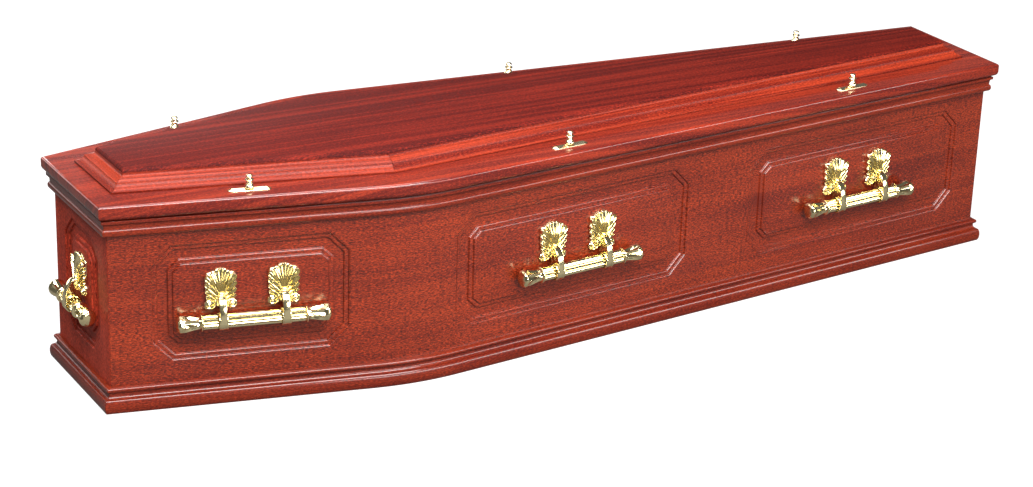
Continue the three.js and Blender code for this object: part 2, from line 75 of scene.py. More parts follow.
# Camera

CAMERA_PLACE = Vector((-2.3812, -3.9350, 1.9528))
CAMERA_AZIMUTH = radians(30.417)
CAMERA_DOWN = radians(21.898)
CAMERA_ROLL = radians(1.975)
CAMERA_LENS = 88.37


def make_camera():
    camera = bpy.data.cameras.new("camera")
    camera.lens = CAMERA_LENS
    camera.sensor_width = 36
    camera.sensor_fit = "HORIZONTAL"
    holder = placed("camera", camera)
    forward = Vector((
        sin(CAMERA_AZIMUTH) * cos(CAMERA_DOWN),
        cos(CAMERA_AZIMUTH) * cos(CAMERA_DOWN),
        -sin(CAMERA_DOWN),
    ))
    aim = forward.to_track_quat("-Z", "Y").to_matrix().to_4x4()
    roll = Matrix.Rotation(CAMERA_ROLL, 4, "Z")
    holder.matrix_world = Matrix.Translation(CAMERA_PLACE) @ aim @ roll
    bpy.context.scene.camera = holder


# Plan of the box, with a bend of many steps at each shoulder

def head_plane_y(x, outward):
    return HEAD_WIDTH / 2 + (x + HALF_LENGTH) * tan(FLARE) + outward / cos(FLARE)


def foot_plane_y(x, outward):
    return FOOT_WIDTH / 2 + (HALF_LENGTH - x) * tan(TAPER) + outward / cos(TAPER)


def side_outline(outward, pull_back=0.0):
    """Left half of the plan, moved outwards: head corner, bend at the shoulder, foot corner."""
    head_x = -HALF_LENGTH - outward
    foot_x = HALF_LENGTH + outward
    head_y = head_plane_y(head_x, outward)
    foot_y = foot_plane_y(foot_x, outward)
    head = (head_x + pull_back * cos(FLARE), head_y + pull_back * sin(FLARE))
    foot = (foot_x - pull_back * cos(TAPER), foot_y + pull_back * sin(TAPER))
    slopes = tan(FLARE) + tan(TAPER)
    rise = 1 / cos(FLARE) - 1 / cos(TAPER)
    centre_x = SHOULDER_FROM_HEAD - HALF_LENGTH + BEND_RADIUS * rise / slopes
    centre_y = head_plane_y(centre_x, -BEND_RADIUS)
    bend = arc_points(
        (centre_x, centre_y), BEND_RADIUS + outward, pi / 2 + FLARE, pi / 2 - TAPER, BEND_STEPS
    )
    return [head, *bend, foot]


def wall_spot(x, y, normal_angle, mirror):
    """A place on a wall's outer face: local X runs along the wall, local Y points out of it."""
    side = -1 if mirror else 1
    turn = Matrix.Rotation(side * normal_angle - pi / 2, 4, "Z")
    return Matrix.Translation((x, side * y, 0)) @ turn


def curve_points(start, first, second, end, steps):
    """Points of a Bezier curve in a plane, without its first point."""
    line = interpolate_bezier(
        Vector((*start, 0)), Vector((*first, 0)), Vector((*second, 0)), Vector((*end, 0)), steps + 1
    )
    return [(p.x, p.y) for p in line[1:]]


def arc_points(centre, radius, start, end, steps):
    points = []
    for i in range(steps + 1):
        angle = start + (end - start) * i / steps
        points.append((centre[0] + radius * cos(angle), centre[1] + radius * sin(angle)))
    return points


# Mesh helpers

SHARP_ANGLE = radians(34)
EASED_ANGLE = radians(32)
END_GRAIN = 0.2


def new_object(name, vertices, faces, face_uvs=None):
    mesh = bpy.data.meshes.new(name)
    mesh.from_pydata([tuple(v) for v in vertices], [], faces)
    if face_uvs:
        layer = mesh.uv_layers.new(name="UVMap")
        flat = [value for face in face_uvs for uv in face for value in uv]
        layer.data.foreach_set("uv", flat)
    mesh.validate()
    mesh.update()
    return placed(name, mesh)


def face_out(item):
    """Turns every face outwards, and marks the arrises that stay sharp."""
    work = bmesh.new()
    work.from_mesh(item.data)
    bmesh.ops.recalc_face_normals(work, faces=work.faces)
    for face in work.faces:
        face.smooth = True
    for edge in work.edges:
        edge.smooth = edge.calc_face_angle(0) < SHARP_ANGLE
    work.to_mesh(item.data)
    work.free()
    return item


def grid_faces(rows, columns, start=0, wrap=False):
    """Faces of a grid of points, row by row."""
    faces = []
    for r in range(rows - 1):
        for c in range(columns if wrap else columns - 1):
            d = (c + 1) % columns
            first = start + r * columns
            faces.append((first + c, first + d, first + columns + d, first + columns + c))
    return faces


class Shape:
    """Points and faces that grow into one mesh."""

    def __init__(self):
        self.vertices = []
        self.faces = []

    def grid(self, rows, wrap=False, close_ends=False):
        start = len(self.vertices)
        columns = len(rows[0])
        for row in rows:
            self.vertices.extend(row)
        self.faces += grid_faces(len(rows), columns, start, wrap)
        if close_ends:
            last = start + (len(rows) - 1) * columns
            self.faces.append(tuple(range(start, start + columns))[::-1])
            self.faces.append(tuple(range(last, last + columns)))

    def solid(self, rings):
        self.grid(rings, wrap=True, close_ends=True)

    def made(self, name):
        return face_out(new_object(name, self.vertices, self.faces))


def closed_solid(name, rings):
    """A solid through closed rings, with flat ends."""
    shape = Shape()
    shape.solid(rings)
    return shape.made(name)


def loft(name, rings, along, around, offset=(0.0, 0.0)):
    """A closed solid through rings. Grain runs along the rings: along[ring][point] is the
    distance down the piece, and around[point] the distance round its profile."""
    size = len(rings[0])
    u = [[value + offset[0] for value in ring] for ring in along]
    v = [value + offset[1] for value in around]
    faces = grid_faces(len(rings), size, wrap=True)
    uvs = []
    for near, far in zip(u, u[1:]):
        for i in range(size):
            j = (i + 1) % size
            uvs.append([(near[i], v[i]), (near[j], v[i + 1]), (far[j], v[i + 1]), (far[i], v[i])])
    for r, order in ((0, -1), (len(rings) - 1, 1)):
        points = list(range(size))[::order]
        faces.append([r * size + i for i in points])
        uvs.append([(offset[0] + rings[r][i][2] * END_GRAIN, v[i]) for i in points])
    return face_out(new_object(name, [p for ring in rings for p in ring], faces, uvs))


def circle(sides):
    """Cosine and sine at each corner of a round."""
    return [(cos(2 * pi * k / sides), sin(2 * pi * k / sides)) for k in range(sides)]


def lengths(points):
    """Running distance along a line of points."""
    total = [0.0]
    for a, b in zip(points, points[1:]):
        total.append(total[-1] + (Vector(b) - Vector(a)).length)
    return total


def soften(item, width):
    """A small round on the arrises, which catches the light."""
    bevel = item.modifiers.new("eased arrises", "BEVEL")
    bevel.width = width
    bevel.segments = 2
    bevel.limit_method = "ANGLE"
    bevel.angle_limit = EASED_ANGLE
    bevel.harden_normals = True


def map_grain(item, place):
    """Lays the grain by a rule that turns a point into (along, across)."""
    mesh = item.data
    layer = mesh.uv_layers.active or mesh.uv_layers.new(name="UVMap")
    layer.name = "UVMap"
    for loop in mesh.loops:
        layer.data[loop.index].uv = place(mesh.vertices[loop.vertex_index].co)


def dress(item, slot, material, *nodes):
    """Gives a new piece its material, its body and the nodes that it stands for."""
    item.data.materials.clear()
    item.data.materials.append(material)
    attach(item, "root")
    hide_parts(*nodes)


# Shared effects, as node groups

def new_group(name, inputs, outputs):
    group = bpy.data.node_groups.new(name, "ShaderNodeTree")
    for label, kind, value in inputs:
        socket = group.interface.new_socket(label, in_out="INPUT", socket_type=kind)
        if value is not None:
            socket.default_value = value
    for label, kind in outputs:
        group.interface.new_socket(label, in_out="OUTPUT", socket_type=kind)
    enter = group.nodes.new("NodeGroupInput")
    leave = group.nodes.new("NodeGroupOutput")
    return group, enter, leave


def add_node(tree, kind, values, **settings):
    """A node with its settings and its inputs."""
    node = tree.nodes.new("ShaderNode" + kind)
    for key, value in settings.items():
        setattr(node, key, value)
    fill(tree, node, values)
    return node


def fill(tree, node, values):
    """Each input takes a number, a vector, a colour or another node's output."""
    for label, value in values.items():
        socket = node.inputs[label]
        if isinstance(value, bpy.types.NodeSocket):
            tree.links.new(value, socket)
        elif socket.type == "RGBA":
            socket.default_value = (*value, 1)
        else:
            socket.default_value = value


def math_node(tree, operation, first, second, clamp=False):
    values = {0: first, 1: second}
    return add_node(tree, "Math", values, operation=operation, use_clamp=clamp).outputs[0]


def noise_node(tree, vector, scale, detail=2.0, roughness=0.5):
    values = {"Vector": vector, "Scale": scale, "Detail": detail, "Roughness": roughness}
    return add_node(tree, "TexNoise", values).outputs["Fac"]


def streaks(tree, vector, scale, detail=2.0, roughness=0.5):
    """Noise with a scale of its own along and across the grain."""
    scaled = add_node(tree, "VectorMath", {0: vector, 1: scale}, operation="MULTIPLY")
    return noise_node(tree, scaled.outputs[0], 1.0, detail, roughness)


def ranged(tree, value, low, high, to_low=0.0, to_high=1.0):
    values = {
        "Value": value, "From Min": low, "From Max": high, "To Min": to_low, "To Max": to_high
    }
    return add_node(tree, "MapRange", values).outputs[0]


def mask(tree, value, low, high, strength):
    """How far a value lies between low and high, times a strength."""
    return math_node(tree, "MULTIPLY", ranged(tree, value, low, high), strength, clamp=True)


def mixed(tree, factor, first, second, blend="MIX"):
    values = {0: factor, 6: first, 7: second}
    return add_node(tree, "Mix", values, data_type="RGBA", blend_type=blend).outputs[2]


BRASS_CLOUDS = 60.0
BRASS_DARKER = 0.88
PORE_DEPTH = 0.0003
RELIEF = 0.12
FIBRE = 0.38
FIBRE_RELIEF = 0.3
FIBRE_ROUGHNESS = 0.10
ROUGHNESS = 0.25
FAINTER = 0.8
WANDER = 0.02


def make_grain_group():
    """Mahogany grain. The vector is (along, across) in metres."""
    tint, number = "NodeSocketColor", "NodeSocketFloat"
    group, enter, leave = new_group(
        "mahogany_grain",
        [
            ("Vector", "NodeSocketVector", None),
            ("Light Wood", tint, (0.4, 0.08, 0.03, 1)),
            ("Dark Wood", tint, (0.2, 0.03, 0.015, 1)),
            ("Pore Colour", tint, (0.05, 0.01, 0.008, 1)),
            ("Stripe", number, 0.5),
            ("Stripes Per Metre", number, 26.0),
            ("Pores", number, 0.5),
            ("Mottle", number, 0.4),
        ],
        [("Color", tint), ("Roughness", number), ("Height", number)],
    )
    vector = enter.outputs["Vector"]
    light, pore_share = enter.outputs["Light Wood"], enter.outputs["Pores"]
    wander = math_node(group, "SUBTRACT", streaks(group, vector, (1.2, 5.0, 1.0)), 0.5)
    shift = add_node(group, "CombineXYZ", {"Y": wander})
    bend = {0: shift.outputs[0], 1: (0, WANDER, 0), 2: vector}
    grain = add_node(group, "VectorMath", bend, operation="MULTIPLY_ADD").outputs[0]
    spread = add_node(group, "CombineXYZ", {"X": 0.5, "Y": enter.outputs["Stripes Per Metre"]})
    broad = streaks(group, grain, spread.outputs[0], 3.0, 0.6)
    fine = streaks(group, grain, (3.0, 260.0, 1.0), 3.0, 0.6)
    mottle = streaks(group, vector, (4.0, 9.0, 1.0), 3.0, 0.55)
    long_pores = streaks(group, grain, (70.0, 900.0, 1.0), 1.0, 0.5)
    short_pores = streaks(group, grain, (170.0, 620.0, 1.0), 2.0, 0.6)
    light_flecks = streaks(group, vector, (190.0, 560.0, 1.0), 2.0, 0.6)

    stripe = mask(group, broad, 0.36, 0.66, enter.outputs["Stripe"])
    fibre = mask(group, fine, 0.35, 0.65, FIBRE)
    cloud = mask(group, mottle, 0.35, 0.68, enter.outputs["Mottle"])
    dark = math_node(group, "ADD", math_node(group, "ADD", stripe, fibre), cloud, clamp=True)
    plain = mixed(group, dark, light, enter.outputs["Dark Wood"])
    glints = mask(group, light_flecks, 0.48, 0.64, pore_share)
    wood = mixed(group, math_node(group, "MULTIPLY", glints, FAINTER), plain, light, "ADD")
    pores = mask(group, long_pores, 0.60, 0.68, pore_share)
    specks = mask(group, short_pores, 0.49, 0.60, pore_share)
    flecks = math_node(group, "MAXIMUM", pores, math_node(group, "MULTIPLY", specks, FAINTER))
    height = math_node(group, "SUBTRACT", math_node(group, "MULTIPLY", fine, FIBRE_RELIEF), flecks)
    uneven = math_node(group, "MULTIPLY", fine, FIBRE_ROUGHNESS)
    rough = math_node(group, "ADD", uneven, ROUGHNESS)
    colour = mixed(group, flecks, wood, enter.outputs["Pore Colour"])
    fill(group, leave, {"Color": colour, "Roughness": rough, "Height": height})
    return group


def new_material(name):
    material = bpy.data.materials.new(name)
    material.use_nodes = True
    return material, material.node_tree, material.node_tree.nodes["Principled BSDF"]


def wood_material(
    name, light, dark, pore, stripe, pores, mottle,
    coat, gloss=0.16, shine=0.25, stripes=26.0, dull=0.0, solid=False,
):
    """Lacquered mahogany. A solid block has no grain map and takes its own coordinates."""
    material, tree, shader = new_material(name)
    if solid:
        place = add_node(tree, "TexCoord", {}).outputs["Object"]
    else:
        place = add_node(tree, "UVMap", {}, uv_map="UVMap").outputs[0]
    wood = add_node(tree, "Group", {
        "Vector": place, "Light Wood": light, "Dark Wood": dark, "Pore Colour": pore,
        "Stripe": stripe, "Stripes Per Metre": stripes, "Pores": pores, "Mottle": mottle,
    }, node_tree=grain_group)
    relief = {"Strength": RELIEF, "Distance": PORE_DEPTH, "Height": wood.outputs["Height"]}
    fill(tree, shader, {
        "Base Color": wood.outputs["Color"],
        "Roughness": math_node(tree, "ADD", wood.outputs["Roughness"], dull),
        "Normal": add_node(tree, "Bump", relief).outputs[0],
        "Specular IOR Level": shine, "Coat Weight": coat, "Coat Roughness": gloss,
    })
    return material


def metal_material(name, colour, roughness, variation):
    """Brass with faint clouds in its tone and polish."""
    material, tree, shader = new_material(name)
    place = add_node(tree, "TexCoord", {}).outputs["Object"]
    cloud = noise_node(tree, place, BRASS_CLOUDS, 3.0)
    darker = tuple(c * BRASS_DARKER for c in colour)
    fill(tree, shader, {
        "Base Color": mixed(tree, ranged(tree, cloud, 0.35, 0.7), colour, darker),
        "Roughness": ranged(tree, cloud, 0.3, 0.7, roughness - variation, roughness + variation),
        "Metallic": 1.0,
    })
    return material


make_camera()

grain_group = make_grain_group()
# Light, dark and pore colours of each wood, then its grain and lacquer
board_wood = wood_material(
    "mahogany_board",
    (0.190, 0.0205, 0.0046), (0.070, 0.0050, 0.0019), (0.009, 0.0012, 0.0010),
    stripe=0.52, pores=0.95, mottle=0.42, coat=0.62, gloss=0.22,
)
# Painted light: a lit copy of the board wood. The end boards get a much lighter colour that stands
# in for the light the head and foot faces lack.
end_wood_painted_light = wood_material(
    "mahogany_end_board_painted_light",
    (0.40, 0.044, 0.020), (0.18, 0.018, 0.010), (0.020, 0.003, 0.002),
    stripe=0.45, pores=0.75, mottle=0.45, coat=0.05, shine=0.04, dull=0.15,
)
lid_wood = wood_material(
    "mahogany_lid",
    (0.215, 0.0210, 0.0070), (0.066, 0.0042, 0.0024), (0.025, 0.0020, 0.0015),
    stripe=0.95, pores=0.6, mottle=0.25, coat=0.8, gloss=0.08, shine=0.06, stripes=58.0, dull=0.2,
)
# Painted sheen: a lighter copy of the lid wood. Its light colour stands in for the broad soft
# highlight on the raised moulding's slopes.
raised_wood_painted_sheen = wood_material(
    "mahogany_raised_moulding",
    (0.262, 0.0275, 0.0092), (0.070, 0.0048, 0.0025), (0.025, 0.0020, 0.0015),
    stripe=0.95, pores=0.5, mottle=0.25, coat=0.06, gloss=0.22, shine=0.08, stripes=75.0, dull=0.1,
)
top_wood = wood_material(
    "mahogany_lid_top",
    (0.126, 0.0092, 0.0040), (0.035, 0.0020, 0.0014), (0.015, 0.0012, 0.0012),
    stripe=1.0, pores=0.65, mottle=0.25, coat=0.0, shine=0.06, stripes=58.0, dull=0.3,
)
moulding_wood = wood_material(
    "mahogany_moulding",
    (0.158, 0.0185, 0.0060), (0.072, 0.0059, 0.0028), (0.0148, 0.0019, 0.0015),
    stripe=0.55, pores=0.7, mottle=0.4, coat=0.45, gloss=0.10, shine=0.10,
)
inside_wood = wood_material(
    "mahogany_inside",
    (0.1333, 0.037, 0.0148), (0.0815, 0.0185, 0.0074), (0.0222, 0.0056, 0.0037),
    stripe=0.3, pores=0.4, mottle=0.4, coat=0.0, solid=True,
)
brass = metal_material("polished_brass", (0.88, 0.76, 0.44), 0.11, 0.03)
cast_brass = metal_material("cast_brass", (0.88, 0.77, 0.45), 0.15, 0.03)
pale_brass = metal_material("pale_brass", (0.92, 0.80, 0.52), 0.2, 0.04)


# Routed panels

PANEL_BOTTOM = 0.085
PANEL_TOP_MARGIN = 0.056
PANEL_HEIGHT = WALL_HEIGHT - PANEL_BOTTOM - PANEL_TOP_MARGIN
PANEL_MIDDLE = PANEL_BOTTOM + PANEL_HEIGHT / 2
PANEL_HEAD_CORNER = 0.074
PANEL_HEAD_BEND = 0.043
PANEL_FOOT_CORNER = 0.067
PANEL_FOOT_BEND = 0.002
PANEL_BETWEEN = 0.150
PANEL_END_MARGIN = 0.044
PANEL_CORNER_CUT = 0.036
HEAD_PANEL_LENGTH = HEAD_WALL_FLAT - PANEL_HEAD_CORNER - PANEL_HEAD_BEND
PANEL_FOOT_LONGER = 0.018
TWO_PANELS = FOOT_WALL_FLAT - PANEL_FOOT_CORNER - PANEL_FOOT_BEND - PANEL_BETWEEN
MIDDLE_PANEL_LENGTH = (TWO_PANELS - PANEL_FOOT_LONGER) / 2
FOOT_PANEL_LENGTH = MIDDLE_PANEL_LENGTH + PANEL_FOOT_LONGER

GROOVE_DEPTH = 0.0070
GROOVE_OUTER = 0.011
GROOVE_CHANNEL = 0.018
GROOVE_INNER = 0.011
GROOVE_STEP = 0.0026
GROOVE_BAND_DEPTH = 0.0036
GROOVE_BAND_CROWN = 0.0003
GROOVE_CLEAR = 0.002
GRAIN_LEAN = 0.02


def side_panels(mirror):
    """Length and place of each panel in a side wall, from the head to the foot."""
    along = PANEL_HEAD_CORNER + HEAD_PANEL_LENGTH / 2
    panels = [(HEAD_PANEL_LENGTH, wall_spot(
        -HALF_LENGTH + along * cos(FLARE), HEAD_WIDTH / 2 + along * sin(FLARE),
        pi / 2 + FLARE, mirror,
    ))]
    middle_start = PANEL_FOOT_CORNER + FOOT_PANEL_LENGTH + PANEL_BETWEEN
    for start, length in (
        (middle_start, MIDDLE_PANEL_LENGTH), (PANEL_FOOT_CORNER, FOOT_PANEL_LENGTH)
    ):
        along = start + length / 2
        panels.append((length, wall_spot(
            HALF_LENGTH - along * cos(TAPER), FOOT_WIDTH / 2 + along * sin(TAPER),
            pi / 2 - TAPER, mirror,
        )))
    return panels


HEAD_PANEL = (HEAD_WIDTH - 2 * PANEL_END_MARGIN, wall_spot(-HALF_LENGTH, 0, pi, False))
FOOT_PANEL = (FOOT_WIDTH - 2 * PANEL_END_MARGIN, wall_spot(HALF_LENGTH, 0, 0, False))


def panel_corners(length, inward):
    a = length / 2 - inward
    b = PANEL_HEIGHT / 2 - inward
    cut = PANEL_CORNER_CUT - inward * (2 - sqrt(2))
    return [
        (a, cut - b), (a, b - cut), (a - cut, b), (cut - a, b),
        (-a, b - cut), (-a, cut - b), (cut - a, -b), (a - cut, -b),
    ]


def groove_section():
    """Across a groove from its outer edge: two rounded steps down, the channel, two steps up."""
    width = GROOVE_OUTER + GROOVE_CHANNEL + GROOVE_INNER
    half = [(0, GROOVE_CLEAR), (0, 0)]
    half += step_round(0, 0, GROOVE_STEP, -GROOVE_BAND_DEPTH)
    half.append((GROOVE_OUTER - GROOVE_STEP, GROOVE_BAND_CROWN - GROOVE_BAND_DEPTH))
    half += step_round(*half[-1], GROOVE_OUTER, -GROOVE_DEPTH)
    return half + [(width - x, out) for x, out in reversed(half)]


def step_round(x, out, end_x, end_out):
    return curve_points(
        (x, out), (x + 0.6 * (end_x - x), out), (end_x, out + 0.4 * (end_out - out)),
        (end_x, end_out), 5,
    )


def groove_cutter(length, spot):
    section = groove_section()
    outlines = [panel_corners(length, inward) for inward, _ in section]
    vertices = []
    for corner in range(8):
        for outline, (_, outward) in zip(outlines, section):
            x, z = outline[corner]
            vertices.append(spot @ Vector((x, outward, z + PANEL_MIDDLE)))
    faces = grid_faces(9, len(section), wrap=True)
    closed = [[i % len(vertices) for i in face] for face in faces]
    return face_out(new_object("groove_cutter", vertices, closed))


def cut_grooves(item, panels):
    """Cuts the grooves and keeps the result as the board's own mesh."""
    cutters = [groove_cutter(length, spot) for length, spot in panels]
    for cutter in cutters:
        cut = item.modifiers.new("groove", "BOOLEAN")
        cut.operation = "DIFFERENCE"
        cut.solver = "EXACT"
        cut.object = cutter
    view = bpy.context.evaluated_depsgraph_get()
    mesh = bpy.data.meshes.new_from_object(item.evaluated_get(view))
    item.modifiers.clear()
    item.data = mesh
    for cutter in cutters:
        bpy.data.objects.remove(cutter)
    face_out(item)


def level_grain(offset):
    """Grain along a side wall."""
    return lambda co: (co.x + offset[0], co.z + GRAIN_LEAN * co.y + offset[1])


def upright_grain(offset):
    """Grain up an end board."""
    return lambda co: (co.z + offset[0], co.y + GRAIN_LEAN * co.x + offset[1])


# Walls

BOARD_ARRIS = 0.0005


def along_side(name, profile, side, offset=(0.0, 0.0)):
    """A board or moulding along one side wall, mitred at both corners."""
    outlines = [side_outline(outward, GAP) for outward, _ in profile]
    runs = [[d - p[0] for d in lengths(line)] for p, line in zip(profile, outlines)]
    rings = [
        [(x, side * y, height) for (x, y), (_, height) in zip(station, profile)]
        for station in zip(*outlines)
    ]
    return loft(name, rings, list(zip(*runs)), lengths(profile + [profile[0]]), offset)


def across_end(name, profile, end, offset=(0.0, 0.0)):
    """The same profile across the head or the foot, mitred to the side pieces."""
    plane = head_plane_y if end < 0 else foot_plane_y
    rings = []
    for side in (-1, 1):
        ring = []
        for outward, height in profile:
            x = end * (HALF_LENGTH + outward)
            ring.append((x, side * (plane(x, outward) - GAP), height))
        rings.append(ring)
    along = [[p[1] for p in ring] for ring in rings]
    return loft(name, rings, along, lengths(profile + [profile[0]]), offset)


def make_walls():
    profile = [(-WALL, 0), (0, 0), (0, WALL_HEIGHT), (-WALL, WALL_HEIGHT)]
    for side, place, mirror in ((1, "left", False), (-1, "right", True)):
        board = along_side(f"wall_{place}", profile, side)
        cut_grooves(board, side_panels(mirror))
        map_grain(board, level_grain((0.37 * side, 0.21 * side)))
        soften(board, BOARD_ARRIS)
        dress(board, "mahogany_board", board_wood, f"side_board_{place}")
    for end, place, panel in ((-1, "head", HEAD_PANEL), (1, "foot", FOOT_PANEL)):
        board = across_end(f"wall_{place}", profile, end)
        cut_grooves(board, [panel])
        map_grain(board, upright_grain((2.3 * end, 0.8 * end)))
        soften(board, BOARD_ARRIS)
        # The end boards take the lighter wood with painted light instead of the side boards'
        # colour.
        dress(board, "mahogany_board", end_wood_painted_light, f"{place}_board")


# Plinth and cornice

PLINTH_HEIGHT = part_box("plinth_left")[1].z
PLINTH_PROJECTION = 0.0165
PLINTH_TORUS = 0.025
PLINTH_FOOT_INSET = 0.0035
PLINTH_WAIST = 0.005
PLINTH_BEAD = 0.009
PLINTH_BEAD_PROJECTION = 0.010

CORNICE_HEIGHT = 0.030
CORNICE_PROJECTION = 0.012
CORNICE_FILLET = 0.005
CORNICE_WAIST = 0.007
CORNICE_BEAD = 0.013
CORNICE_BEAD_PROJECTION = 0.0105
MOULDING_ARRIS = 0.0003


def plinth_profile():
    """From the floor: a torus, a hollow up to the waist, and a bead."""
    foot = PLINTH_PROJECTION - PLINTH_FOOT_INSET
    bulge = PLINTH_PROJECTION + 0.0012
    bead = PLINTH_HEIGHT - PLINTH_BEAD
    reach = PLINTH_BEAD_PROJECTION + 0.0015
    points = [(GAP, 0), (foot, 0)]
    points += curve_points(
        points[-1], (bulge, 0.004), (bulge, PLINTH_TORUS - 0.004), (foot, PLINTH_TORUS), 12
    )
    points += curve_points(
        points[-1], (PLINTH_WAIST + 0.003, PLINTH_TORUS + 0.001),
        (PLINTH_WAIST, PLINTH_TORUS + 0.003), (PLINTH_WAIST, bead - 0.002), 8,
    )
    points.append((PLINTH_WAIST, bead))
    points += curve_points(
        points[-1], (reach, bead), (reach, PLINTH_HEIGHT), (PLINTH_WAIST, PLINTH_HEIGHT), 12
    )
    return points + [(GAP, PLINTH_HEIGHT)]


def cornice_profile():
    """Upwards: a bead, a cove and a fillet under the lid."""
    bottom = WALL_HEIGHT - CORNICE_HEIGHT
    bead_top = bottom + CORNICE_BEAD
    fillet = WALL_HEIGHT - CORNICE_FILLET
    reach = CORNICE_BEAD_PROJECTION + 0.001
    points = [(GAP, bottom), (CORNICE_WAIST - 0.001, bottom)]
    points += curve_points(
        points[-1], (reach, bottom), (reach, bead_top), (CORNICE_WAIST, bead_top), 12
    )
    points += curve_points(
        points[-1], (CORNICE_WAIST, fillet - 0.003),
        (CORNICE_WAIST + 0.001, fillet), (CORNICE_PROJECTION, fillet), 8,
    )
    return points + [(CORNICE_PROJECTION, WALL_HEIGHT), (GAP, WALL_HEIGHT)]


def make_moulding_round(name, profile):
    for place, piece, way, offset in (
        ("left", along_side, 1, (0, 0)), ("right", along_side, -1, (1.7, 0.4)),
        ("head", across_end, -1, (0, 0.9)), ("foot", across_end, 1, (2.9, 1.2)),
    ):
        item = piece(f"{name}_moulding_{place}", profile, way, offset)
        soften(item, MOULDING_ARRIS)
        dress(item, "mahogany_moulding", moulding_wood, f"{name}_{place}")


# Lid

LID_OVERHANG = 0.0185
LID_EDGE_ROUND = 0.0095
LID_EDGE_FLAT = 0.004
LID_TOP_ROUND = 0.0052
LID_QUIRK = 0.0026

RAISED_HEAD_SIDE = 0.042
RAISED_FOOT_SIDE = 0.050
RAISED_END = 0.025
RAISED_HEIGHT = 0.033
RAISED_WIDTH = 0.054
RAISED_LIP = 0.003
RAISED_COVE_WIDTH = 0.0145
RAISED_COVE_HEIGHT = 0.015
RAISED_FILLET_WIDTH = 0.010
RAISED_FILLET_RISE = 0.0034
RAISED_SLOPE_WIDTH = 0.006
RAISED_PANEL = 0.0065
RAISED_PANEL_EDGE = 0.006
RAISED_ARRIS = 0.0004
RAISED_PLACES = ["head_right", "foot_right", "foot", "foot_left", "head_left", "head"]


def lid_edge():
    """Edge of the lid: a quirk over the cornice, a bullnose and a tight top arris."""
    inner = LID_OVERHANG - LID_EDGE_ROUND
    middle = (LID_BOTTOM + LID_TOP) / 2
    rise = (LID_TOP - LID_BOTTOM - LID_EDGE_FLAT) / 2
    under = LID_BOTTOM + LID_QUIRK
    bend = LID_TOP_ROUND * 0.45
    points = [(inner - LID_QUIRK, LID_BOTTOM), (inner - LID_QUIRK + 0.0002, under), (inner, under)]
    points += curve_points(
        points[-1], (inner + LID_EDGE_ROUND * 0.6, under),
        (LID_OVERHANG, middle - rise * 0.6), (LID_OVERHANG, middle - LID_EDGE_FLAT / 2), 10,
    )
    points.append((LID_OVERHANG, LID_TOP - LID_TOP_ROUND))
    points += curve_points(
        points[-1], (LID_OVERHANG, LID_TOP - bend), (LID_OVERHANG - bend, LID_TOP),
        (LID_OVERHANG - LID_TOP_ROUND, LID_TOP), 8,
    )
    return points


def edge_grain(co):
    """Along the lid, carried on down its edges."""
    return co.x, co.y + (1 if co.y > 0 else -1) * (LID_TOP - co.z)


def make_lid_board():
    rings = []
    for outward, height in lid_edge():
        left = side_outline(outward)
        right = [(x, -y) for x, y in reversed(left)]
        rings.append([(x, y, height) for x, y in left + right])
    lid = closed_solid("lid", rings)
    map_grain(lid, edge_grain)
    dress(lid, "mahogany_lid", lid_wood, "lid_board")


def raised_corners(inward):
    """Plan of the raised lid at a distance inside its edge, from the head's right corner."""
    head_x = -HALF_LENGTH + RAISED_END + inward
    foot_x = HALF_LENGTH - RAISED_END - inward
    head_slack = -RAISED_HEAD_SIDE - inward
    foot_slack = -RAISED_FOOT_SIDE - inward
    between = head_plane_y(0, head_slack) - foot_plane_y(0, foot_slack)
    corner_x = -between / (tan(FLARE) + tan(TAPER))
    right = [
        (head_x, -head_plane_y(head_x, head_slack)),
        (corner_x, -head_plane_y(corner_x, head_slack)),
        (foot_x, -foot_plane_y(foot_x, foot_slack)),
    ]
    return [Vector(p) for p in right + [(x, -y) for x, y in reversed(right)]]


def raised_profile():
    """Inwards from its edge: a lip, a cove, a sloped fillet, and a rise to the top panel."""
    top = RAISED_HEIGHT - RAISED_PANEL - 2 * GAP
    fillet_end = RAISED_COVE_WIDTH + RAISED_FILLET_WIDTH
    fillet_height = RAISED_COVE_HEIGHT + RAISED_FILLET_RISE
    slope_end = fillet_end + RAISED_SLOPE_WIDTH
    points = [(0, 0), (0, RAISED_LIP)]
    points += curve_points(
        points[-1], (RAISED_COVE_WIDTH * 0.5, RAISED_LIP),
        (RAISED_COVE_WIDTH * 0.85, RAISED_COVE_HEIGHT * 0.5),
        (RAISED_COVE_WIDTH, RAISED_COVE_HEIGHT), 12,
    )
    points.append((fillet_end, fillet_height))
    points += curve_points(
        points[-1], (fillet_end + RAISED_SLOPE_WIDTH * 0.66, fillet_height),
        (slope_end, fillet_height + 0.003), (slope_end, top), 8,
    )
    return points + [(RAISED_WIDTH, top), (RAISED_WIDTH, 0)]


def make_raised_moulding():
    """Six lengths, mitred at the corners and shoulders."""
    profile = raised_profile()
    around = lengths(profile + [profile[0]])
    outlines = [raised_corners(inward) for inward, _ in profile]
    for first, place in enumerate(RAISED_PLACES):
        second = (first + 1) % len(RAISED_PLACES)
        ways = [(corners[second] - corners[first]).normalized() for corners in outlines]
        rings = []
        along = []
        for corner, pull in ((first, GAP), (second, -GAP)):
            spots = [corners[corner] + way * pull for corners, way in zip(outlines, ways)]
            rings.append([(*spot, LID_TOP + GAP + p[1]) for spot, p in zip(spots, profile)])
            along.append([spot.dot(way) for spot, way in zip(spots, ways)])
        item = loft(f"raised_moulding_{place}", rings, along, around, (first * 0.9, first * 0.31))
        soften(item, RAISED_ARRIS)
        # The raised moulding takes the lighter wood with painted sheen on its slopes.
        dress(item, "mahogany_lid", raised_wood_painted_sheen, f"lid_moulding_{place}")


